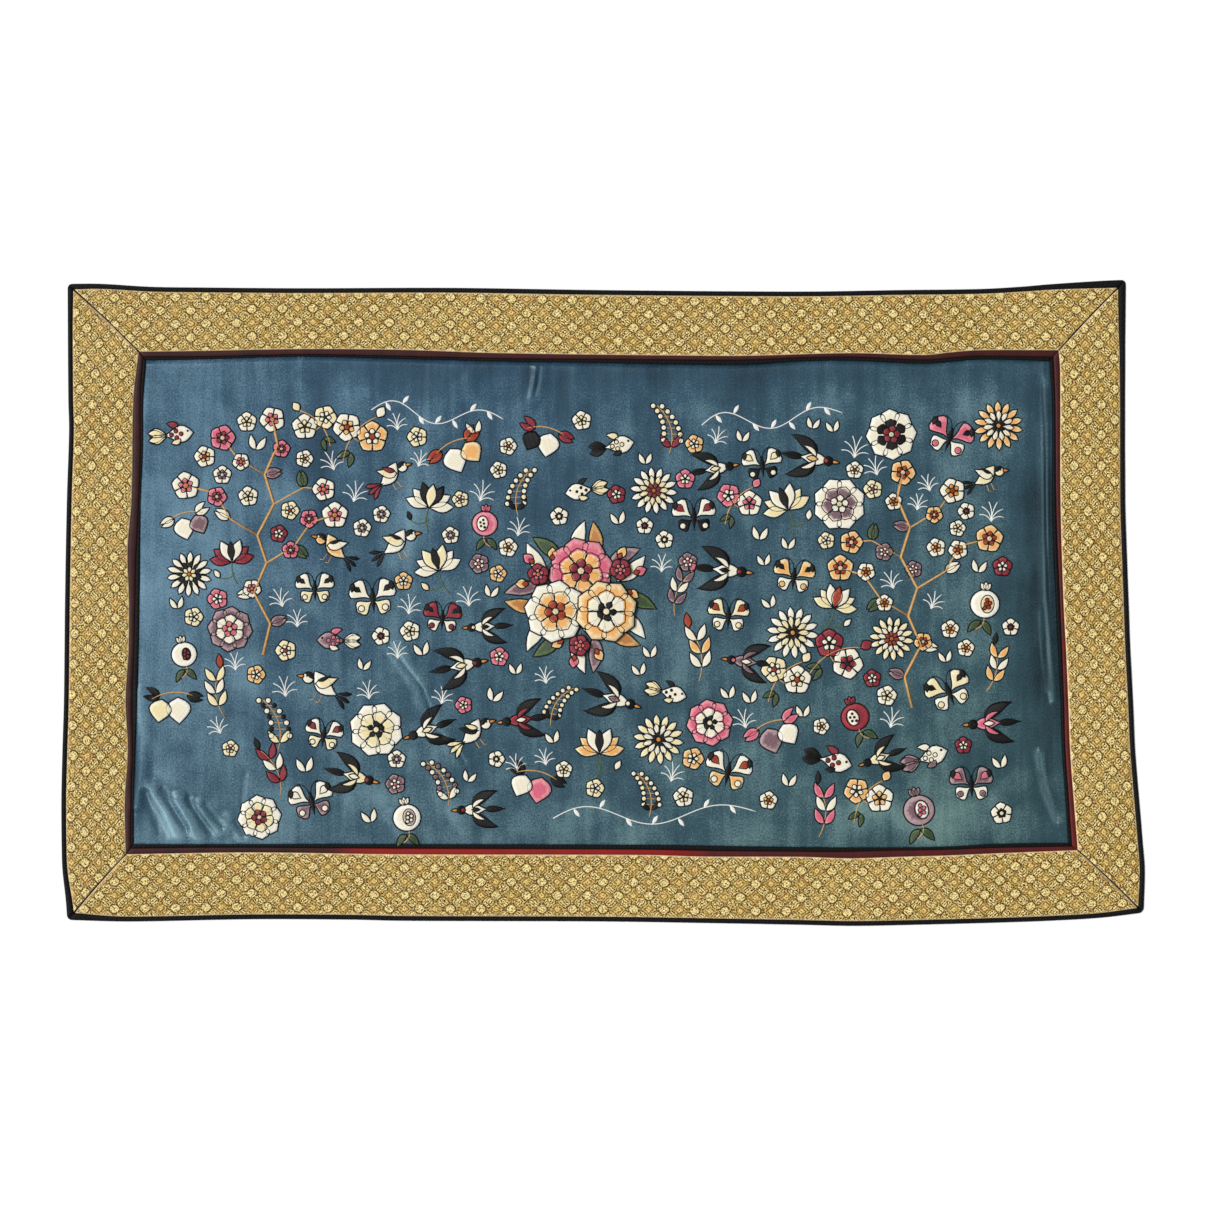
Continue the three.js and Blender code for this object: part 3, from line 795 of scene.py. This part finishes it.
def peony(outer, middle, core):
    """A full double flower, about 50 mm across."""
    return (whorl(outer, 8, 25, 19, 0, 12, 0.72) + whorl(middle, 6, 17, 14, 1, 40, 0.7)
            + whorl(core, 5, 9, 7, 2, 15) + [spot("cream", 2.8, 0j, 3)])


def chrysanthemum(outer, middle, core):
    return (whorl(outer, 14, 25, 6.5, 0, 0, 0.75) + whorl(middle, 11, 16, 5.5, 1, 9, 0.72)
            + whorl(core, 7, 8.5, 4.5, 2) + [spot("amber", 2.4, 0j, 3)])


def lotus(outer, middle, core):
    """A lotus seen from the side, on a short stem with one bud."""
    stem = [line("olive", arc(0j, -4 - 24j, 0.1), 1.8), line("olive", arc(-2 - 12j, 15 - 16j, -0.2), 1.5)]
    fan = [leaf(outer, 25, 11, 90 + a, 0j, 0, 0.55) for a in (-78, 78, -50, 50)]
    fan += [leaf(middle, 27, 12, 90 + a, 0j, 2, 0.52) for a in (-24, 24)]
    return stem + fan + [leaf(core, 24, 11, 90, 0j, 3), leaf(middle, 11, 6, 60, 15 - 16j, 1, 0.45)]


def butterfly(outer, middle, core):
    wing = [leaf(outer, 25, 20, 38, 0j, 0, 0.74), leaf(middle, 18, 15, -32, 0j, 0, 0.7),
            leaf(core, 11, 7, 38, 9 + 7j, 1, 0.6), leaf("black", 10, 6, 104, 19 + 8j, 2),
            spot(outer, 3, 11 - 7j, 1), line("black", arc(1 + 9j, 10 + 21j, 0.18), 1.1, 1)]
    return wing + moved(wing, flip=True) + [fill("black", turned(petal(24, 5, 0.6), 90, -12j), 2)]


def songbird(outer, middle, core):
    tail = [leaf(core, 20, 4.5, 180 + a, -9 - 2j, 0, 0.7, bend) for a, bend in ((26, 14), (10, 6), (-6, -4))]
    body = [leaf(outer, 31, 16, 12, -14 - 3j, 1, 0.55, 22), leaf(middle, 22, 10, 168, 8 + 3j, 2, 0.35, -16),
            leaf(core, 14, 5, 160, 7 + 6j, 3, 0.4, -16)]
    head = [spot(outer, 5.4, 16 + 7j, 2), leaf("black", 11, 6, 168, 20 + 10j, 3, 0.5, 30),
            fill("amber", turned(petal(7, 3, 0.3), -8, 20 + 7.5j), 3), spot("black", 1.1, 17.5 + 8.5j, 4, 6)]
    legs = [line("ochre", [-6j, 1 - 13j, 4 - 14j], 1.2), line("ochre", [5 - 5j, 7 - 12j, 10 - 13j], 1.2)]
    return tail + body + head + legs


def swallow(outer, middle, core):
    """A swallow in flight, with black wings and a forked tail."""
    fork = [leaf("black", 25, 5, degrees, -8, 0, 0.4, bend) for degrees, bend in ((166, 16), (-166, -16))]
    wings = [leaf(thread, length, width, degrees, 3 + side * 2j, layer, 0.4, bend)
             for side, degrees, bend in ((1, 118, 30), (-1, -118, -30))
             for thread, length, width, layer in (("black", 33, 13, 2), (outer, 17, 4.5, 3))]
    head = [spot("black", 5, 15, 3, 12), spot(core, 2.2, 13, 4, 8), leaf("amber", 7, 3, 0, 19, 3, 0.3)]
    return fork + [leaf(outer, 27, 12, 0, -12, 1, 0.55)] + wings + head + [leaf(middle, 11, 5, 0, -6, 4)]


def goldfish(outer, middle, core):
    tail = [leaf(middle, 21, 8, 180 + a, -8, 0, 0.66, bend)
            for a, bend in ((34, -24), (10, 0), (-12, 0), (-36, 24))]
    fins = [leaf(core, 13, 7, 120, 3 + 6j, 0, 0.4, 30), leaf(middle, 11, 6, -130, 5 - 5j, 2, 0.5, -30)]
    scales = [spot(core, 2.2, at, 2, 8) for at in (-4, 1 + 3.4j, 1 - 3.4j, 6)]
    return (tail + [fill(outer, petal(31, 18, 0.6) - 12, 1, 90)] + fins
            + [spot("black", 1.4, 13 + 2.4j, 3, 6)] + scales)


def pomegranate(outer, middle, core):
    crown = [leaf(outer, 9, 5, 90 + a, 13j) for a in (-34, 0, 34)]
    seeds = [spot(core, 1.9, at, 2, 7) for at in (2 + 4j, 5 + 1j, 1, 4 - 3j, -4j)]
    return (crown + [line("ochre", arc(-13j, -8 - 25j, 0.2), 2.0)]
            + leafy_pair("olive", -3 - 17j, 265, 17, 7, 62)
            + [fill(outer, round_shape(14.5, 24, 0.96), 0, 90), spot(middle, 6.5, 2.5, 1, 16, 1.35)] + seeds)


def peaches(outer, middle, core):
    return ([line("ochre", arc(-20 + 14j, 18 + 18j, 0.12), 2.0)]
            + leafy_pair(core, -14 + 15j, 200, 17, 7, 26) + leafy_pair(core, 10 + 18j, 30, 17, 7, 34)
            + [fill(outer, turned(petal(25, 23, 0.42), -82, -6 + 15j), 0, 90),
               fill(middle, turned(petal(22, 21, 0.42), -70, 9 + 16j), 1, 90)])


def leaf_sprig(outer, middle, core):
    stem = arc(-4 - 26j, 4 + 24j, 0.14)
    parts = [line("ochre", stem, 1.5)]
    for i, thread in zip((2, 4, 6), (outer, middle, outer)):
        parts += leafy_pair(thread, stem[i], 84, 18, 7.5, 52)
    return parts + [leaf(core, 15, 7, 82, stem[-1], 0, 0.45)]


def bud_spray(outer, middle, core):
    parts = [line("olive", arc(-24j, 6 + 14j, 0.2), 1.6), line("olive", arc(-10j, -15 + 8j, -0.2), 1.3),
             line("olive", arc(-6j, 18 - 1j, 0.2), 1.3)]
    for at, degrees, thread in ((6 + 14j, 80, outer), (-15 + 8j, 120, middle), (18 - 1j, 30, middle)):
        parts += [leaf(thread, 14, 10, degrees, at), leaf(core, 7, 5, degrees, at, 1, 0.4)]
    return parts + leafy_pair("ivory", -16j, 90, 15, 6, 64)


def berry_sprig(outer, middle, core):
    stem = arc(8 - 24j, -6 + 22j, -0.16)
    parts = [line("ochre", stem, 1.5)]
    for i, thread in zip(range(2, 9), (outer, middle) * 4):
        for side in (-1, 1):
            at = stem[i] + side * (10 - 0.7 * i)
            parts += [line("ochre", [stem[i], at], 1.0), spot(thread, 2.7, at, 0, 8)]
    return parts + leafy_pair(core, stem[1], 95, 16, 6.5, 60)


def grass_tuft():
    blades = ((20, 17, 0.2), (48, 22, 0.16), (74, 25, 0.08), (98, 26, -0.06), (124, 22, -0.14),
              (152, 17, -0.2))
    return [line("white", arc(-12j, turned(length, degrees, -12j), bulge, 6), 1.5)
            for degrees, length, bulge in blades]


def plum_branch(petals):
    """A long crooked branch with blossoms and buds, about 260 mm high."""
    trunk = [-130j, 8 - 96j, -10 - 62j, 4 - 30j, -6, 12 + 34j, 2 + 66j, 16 + 98j, 10 + 126j]
    boughs = [(trunk, 4.6), ([4 - 30j, 34 - 12j, 52 + 14j, 78 + 22j], 3.2),
              ([-6, -36 + 18j, -52 + 46j, -84 + 54j], 3.2), ([12 + 34j, 44 + 52j, 66 + 50j], 2.6),
              ([2 + 66j, -28 + 84j, -44 + 106j], 2.6)]
    parts = [line("ochre", path, width) for path, width in boughs]
    spots = [(78 + 22j, 1.15), (50 + 18j, 0.8), (-84 + 54j, 1.2), (-50 + 42j, 0.85), (66 + 50j, 1.0),
             (-44 + 106j, 1.1), (10 + 126j, 1.1), (20 + 94j, 0.75), (-24 + 80j, 0.75), (30 - 16j, 0.75),
             (-12 - 58j, 0.8)]
    for i, (at, size) in enumerate(spots):
        parts += moved(blossom(*petals[i % len(petals)]), at, size, 40 * i, lift=1)
    for i, (at, degrees) in enumerate(((34 - 12j, -40), (-36 + 18j, 150), (8 - 96j, 20), (44 + 52j, 100),
                                       (-10 - 62j, 190), (2 + 66j, 10))):
        parts += leafy_pair(("olive", "ivory", "plum")[i % 3], at, degrees, 19, 7.5, 24)
    return parts


def peony_bouquet():
    """Three great peonies with their leaves and buds, about 210 mm across."""
    greens = ("olive", "ivory", "plum", "ochre", "ivory")
    parts = [leaf(greens[i % 5], 46, 17, degrees, turned(46, degrees), i % 2, 0.5, 18 if i % 2 else -18)
             for i, degrees in enumerate(range(0, 360, 24))]
    for degrees in (30, 150, 270):
        parts += moved(bud_spray("rose", "peach", "brick"), turned(52, degrees), 1.15, degrees - 90, lift=2)
    blooms = ((31j, 1.6, ("rose", "peach", "crimson")), (-30 - 17j, 1.5, ("ivory", "peach", "brick")),
              (30 - 17j, 1.5, ("peach", "ivory", "black")))
    for i, (at, size, threads) in enumerate(blooms):
        parts += moved(peony(*threads), at, size, 25 * i, lift=3 + 4 * i)
    for degrees in (35, 152, 268):
        parts += moved(blossom("crimson", "rose", "amber"), turned(57, degrees), 1.0, degrees, lift=15)
    return parts


def trailing_vine(length):
    """A long thin tendril of one and a half waves, with small leaves on either side by turns."""
    t = np.linspace(0, 1, 40)
    path = length * (t - 0.5) + 13j * np.sin(3 * math.pi * t) * (1 - 0.4 * t)
    sides = zip(range(4, 38, 5), (-1, 1) * 4)
    return [line("white", path, 1.7)] + [leaf("white", 12, 4.6, side * 55, path[i]) for i, side in sides]


SMALL_MOTIFS = [peony, songbird, leaf_sprig, butterfly, chrysanthemum, swallow, goldfish, lotus,
                pomegranate, swallow, butterfly, peaches, berry_sprig, blossom_pair]
COLOURWAYS = [("ivory", "peach", "brick"), ("ivory", "cream", "black"), ("ivory", "black", "crimson"),
              ("cream", "ivory", "brick"), ("ivory", "cream", "crimson"), ("rose", "ivory", "black"),
              ("cream", "ivory", "black"), ("ivory", "plum", "ivory"), ("crimson", "ivory", "black"),
              ("ivory", "black", "cream"), ("plum", "ivory", "rose"), ("peach", "ivory", "black"),
              ("ivory", "cream", "black")]

# The great motifs: the parts, the place, the size, and whether it is mirrored.
GREAT_MOTIFS = [
    (plum_branch([("ivory", "rose", "amber"), ("rose", "crimson", "cream")]), -462 + 92j, 1.25, False),
    (peony_bouquet(), -30 + 8j, 1.15, False),
    (plum_branch([("peach", "brick", "cream"), ("ivory", "amber", "brick")]), 420 + 20j, 1.25, True),
]
# The vines: the place, the length and the turn.
VINES = [(-225 + 256j, 150, -4), (230 + 250j, 160, 5), (70 - 288j, 230, 2)]
VINE_SIZE = 1.2
# Rounds of ground left plain, where the folds show: middle and reach in mm.
PLAIN_GROUND = [(-578 - 270j, 84), (-262 - 112j, 34), (590 - 240j, 40)]
# The room that a stem keeps, and the part of the field that takes scattered motifs, in mm.
STEM_ROOM = 8
FIELD_X = (-584, 556)
FIELD_Y = (-292, 250)
# The motifs, and then the fillers: how many places are tried, the range of sizes, and the reach.
MOTIF_REACH = 23
FILLER_REACH = 14.0
SCATTERS = [(9000, (1.2, 1.5), MOTIF_REACH), (7000, (0.9, 1.2), FILLER_REACH)]
MOST_TURN = 22
SEED = 23


def rooms_of(parts):
    """The rounds of ground that some parts keep to themselves: middle and reach in mm."""
    rooms = []
    for part in parts:
        points = part["points"]
        if part["kind"] == "fill":
            rooms.append((points.mean(), float(np.abs(points - points.mean()).max())))
        else:
            rooms += [(point, STEM_ROOM) for point in points]
    return rooms


def scattered_motifs():
    """All the parts of the embroidery, in the panel's own millimetres."""
    draw = random.Random(SEED)
    parts = []
    for motif, at, size, flip in GREAT_MOTIFS:
        parts += moved(motif, at, size, 0, flip)
    for at, length, degrees in VINES:
        parts += moved(trailing_vine(length), at, VINE_SIZE, degrees)
    taken = PLAIN_GROUND + rooms_of(parts)
    placed = 0
    for count, size_range, spacing in SCATTERS:
        for _ in range(count):
            at = complex(draw.uniform(*FIELD_X), draw.uniform(*FIELD_Y))
            size = draw.uniform(*size_range)
            if any(abs(at - other) < spacing * size + reach for other, reach in taken):
                continue
            taken.append((at, spacing * size))
            placed += 1
            threads = COLOURWAYS[(placed * 5) % len(COLOURWAYS)]
            degrees = draw.uniform(-MOST_TURN, MOST_TURN)
            if spacing == MOTIF_REACH:
                motif = SMALL_MOTIFS[(placed * 3) % len(SMALL_MOTIFS)](*threads)
            else:
                fillers = (grass_tuft(), blossom(*threads), leafy_pair("ivory", -6j, 90, 19, 8),
                           blossom(*threads))
                motif = fillers[placed % len(fillers)]
            parts += moved(motif, at, size, degrees, draw.random() < 0.5)
    return parts


# Stitches, in millimetres: a filled shape is a low dome whose rim is sunk in the cloth.
FILL_HEIGHT = 0.9
LAYER_HEIGHT = 0.35
RING_SHARES = (0.0, 0.03, 0.3, 0.65)
RING_SWELLS = (0.3, 0.85, 0.98)
RIM_HEIGHT = -0.5
# A laid cord: the heights of its sides, its crown, which grows with its width, and its underside.
CORD_SIDE = 0.1
CORD_CROWN = 0.45
CROWN_PER_WIDTH = 0.4
CORD_UNDER = -0.6
# A cord takes its colour from as far inside a shape as this.
CORD_DEPTH = 0.2


def signed_area(outline):
    onward = np.roll(outline, -1)
    return float((outline.real * onward.imag - onward.real * outline.imag).sum() / 2)


def loop_normals(points, closed):
    """Unit vectors to the left of a path, as complex numbers."""
    run = np.roll(points, -1) - np.roll(points, 1) if closed else np.gradient(points)
    return 1j * run / np.maximum(np.abs(run), 1e-9)


class Stitching:
    """Gathers the faces of all the stitching in one thread."""

    def __init__(self, ground):
        self.ground = ground
        self.points, self.faces, self.maps = [], [], []
        self.count = 0

    def take(self, places, proud, across, depth, faces):
        heights = self.ground(places.real, places.imag) + proud
        self.points.append(np.stack([places.real, places.imag, heights], axis=-1))
        self.maps.append(np.stack([across, depth], axis=-1))
        self.faces += [[self.count + i for i in face] for face in faces]
        self.count += len(places)

    def filled(self, part):
        """A padded satin-stitch shape."""
        outline = part["points"]
        n = len(outline)
        middle = outline.mean()
        lift = part["layer"] * LAYER_HEIGHT
        rings = [middle + (outline - middle) * (1 - share) for share in RING_SHARES]
        places = np.concatenate([*rings, [middle]])
        heights = [RIM_HEIGHT, *(swell * FILL_HEIGHT + lift for swell in RING_SWELLS)]
        proud = np.append(np.repeat(heights, n), FILL_HEIGHT + lift)
        depth = np.append(np.repeat(RING_SHARES, n), 1.0)
        slant = math.radians(part["slant"])
        across = places.real * -math.sin(slant) + places.imag * math.cos(slant)
        onward = [(k + 1) % n for k in range(n)]
        last = (len(RING_SHARES) - 1) * n
        faces = [[ring + k, ring + onward[k], ring + n + onward[k], ring + n + k]
                 for ring in range(0, last, n) for k in range(n)]
        faces += [[last + k, last + onward[k], len(places) - 1] for k in range(n)]
        faces.append(list(range(n - 1, -1, -1)))
        if signed_area(outline) < 0:
            faces = [face[::-1] for face in faces]
        self.take(places, proud, across, depth, faces)

    def laid(self, points, width, layer, closed):
        """A laid cord: four-sided, half sunk in the cloth."""
        n = len(points)
        side = loop_normals(points, closed) * width / 2
        lift = layer * LAYER_HEIGHT
        places = np.concatenate([points + side, points, points - side, points])
        crown = CORD_CROWN + CROWN_PER_WIDTH * width
        proud = np.repeat([CORD_SIDE + lift, crown + lift, CORD_SIDE + lift, CORD_UNDER], n)
        length = np.concatenate([[0], np.cumsum(np.abs(np.diff(points)))])
        ends = n if closed else n - 1
        faces = []
        for a, b in ((0, n), (n, 2 * n), (2 * n, 3 * n), (3 * n, 0)):
            faces += [[a + k, b + k, b + (k + 1) % n, a + (k + 1) % n] for k in range(ends)]
        if not closed:
            faces += [[3 * n, 2 * n, n, 0], [n - 1, 2 * n - 1, 3 * n - 1, 4 * n - 1]]
        self.take(places, proud, np.tile(length, 4), np.full(4 * n, CORD_DEPTH), faces)

    def piece(self, name, material):
        mapped = np.concatenate(self.maps) * (MM, 1.0)
        made_piece(name, np.concatenate(self.points) * MM, self.faces, "stitches", mapped, material)


def silk_floss(thread):
    """Untwisted silk floss in satin stitch: fine parallel threads that shine along their length."""
    core, rim = THREADS[thread]
    material, tree, shader = new_material(f"silk_floss_{thread}")
    stitches = add(tree, "UVMap", uv_map="stitches")
    across, depth = add(tree, "SeparateXYZ", {"Vector": stitches}).outputs[:2]
    place = add(tree, "TexCoord").outputs["Object"]
    uneven = add(tree, "TexNoise", {"Vector": place, "Scale": 260.0, "Detail": 2.0})
    # Long and short stitches: the two colours meet on a ragged line.
    ragged = add(tree, "Math", [uneven, 0.7, -0.35], operation="MULTIPLY_ADD")
    ragged_depth = add(tree, "Math", [depth, ragged], operation="ADD")
    blend = add(tree, "MapRange", {"Value": ragged_depth, "From Min": 0.12, "From Max": 0.5},
                interpolation_type="SMOOTHSTEP")
    dyed = add(tree, "Mix", {"Factor": blend, 6: rim, 7: core}, data_type="RGBA")
    turns_per_metre = 2 * math.pi / (THREAD_SPACING * MM)
    rows = add(tree, "Math", [across, turns_per_metre], operation="MULTIPLY")
    ridge = add(tree, "Math", [rows], operation="SINE")
    # Painted shade: the colour darkens in the grooves between the rows of stitches.
    painted_groove_shade = add(tree, "MapRange", {"Value": ridge, "From Min": -1.0, "From Max": -0.2, "To Min": 0.86})
    join(tree, shader, {
        "Base Color": add(tree, "VectorMath", {0: dyed, "Scale": painted_groove_shade}, operation="SCALE"),
        "Normal": add(tree, "Bump", {"Strength": 0.35, "Distance": 0.0005, "Height": ridge}),
        "Roughness": 0.45,
        "Specular IOR Level": 0.25 if thread == "black" else 0.4,
        "Sheen Weight": 0.0 if thread == "black" else 0.1})
    return material


def embroider():
    """Makes one joined piece for each thread, and two for the black outlines, low and raised."""
    work = {thread: Stitching(satin_top) for thread in THREADS}
    low_outlines, raised_outlines = Stitching(satin_top), Stitching(satin_top)
    for part in scattered_motifs():
        if part["kind"] == "fill":
            work[part["thread"]].filled(part)
            if part["thread"] not in ("black", "white"):
                outlines = raised_outlines if part["layer"] > 0 else low_outlines
                outlines.laid(part["points"], OUTLINE_WIDTH, part["layer"], True)
        else:
            work[part["thread"]].laid(part["points"], part["width"], part["layer"], False)
    for thread, stitching in work.items():
        stitching.piece(f"embroidery_{thread}", silk_floss(thread))
    low_outlines.piece("embroidery_low_outlines", bpy.data.materials["silk_floss_black"])
    raised_outlines.piece("embroidery_raised_outlines", bpy.data.materials["silk_floss_black"])


embroider()


# The hand-sewn mitres: a dark thread laid along the join at each corner, in millimetres.
SEAM_HEIGHT = 1.9
SEAM_WIDTH = 2.2
SEAM_BULGES = {"left": 0.012, "right": -0.01}


def brocade_top(x, y):
    return rise(x, y) + SEAM_HEIGHT


def mitre_seams():
    seams = Stitching(brocade_top)
    for long_side in ("top", "bottom"):
        for short_side, bulge in SEAM_BULGES.items():
            outer, inner = (complex(*corner(sewn, long_side, short_side)) for sewn in ("binding", "seam"))
            seams.laid(arc(outer, inner, bulge, 24), SEAM_WIDTH, 0, False)
    seams.piece("mitre_seam_thread", bpy.data.materials["silk_floss_black"])


mitre_seams()


# The room: a pale floor, with even light from all round.
ROOM_LIGHT = 0.32
FLOOR_SIZE = 12
bpy.ops.object.select_all(action="DESELECT")
bpy.ops.mesh.primitive_plane_add(size=FLOOR_SIZE)
floor = bpy.context.object
floor.name = "pale_floor"
floor_paint, floor_tree, floor_shader = new_material("matt_white_floor")
join(floor_tree, floor_shader, {"Base Color": "#FFFFFF", "Roughness": 0.9, "Specular IOR Level": 0.0})
floor.data.materials.append(floor_paint)

scene = bpy.context.scene
world = bpy.data.worlds.new("soft_white_room")
world.use_nodes = True
join(world.node_tree, world.node_tree.nodes["Background"], {"Color": "#FFFFFF", "Strength": ROOM_LIGHT})
scene.world = world

# Two soft suns stand for wide studio lamps far off to the left, so the floor is lit evenly.
LAMP_SPREAD = math.radians(16)
for name, place, energy in (("upper_left_lamp", (-2.0, 1.4, 3.1), 1.75),
                            ("lower_left_lamp", (-2.3, -1.0, 3.1), 1.15)):
    lamp = bpy.data.lights.new(name, "SUN")
    lamp.energy = energy
    lamp.angle = LAMP_SPREAD
    stand = bpy.data.objects.new(name, lamp)
    stand.location = place
    stand.rotation_euler = (-stand.location).to_track_quat("-Z", "Y").to_euler()
    scene.collection.objects.link(stand)

# The camera looks straight down, and its picture is 1640 mm wide at the cloth.
VIEW_WIDTH = 1.640
LENS = 85.0
SENSOR = 36.0
camera_data = bpy.data.cameras.new("overhead_camera")
camera_data.lens = LENS
camera_data.sensor_width = SENSOR
camera = bpy.data.objects.new("overhead_camera", camera_data)
camera.location = (0, 0, VIEW_WIDTH * LENS / SENSOR)
scene.collection.objects.link(camera)
scene.camera = camera
scene.view_settings.view_transform = "Standard"
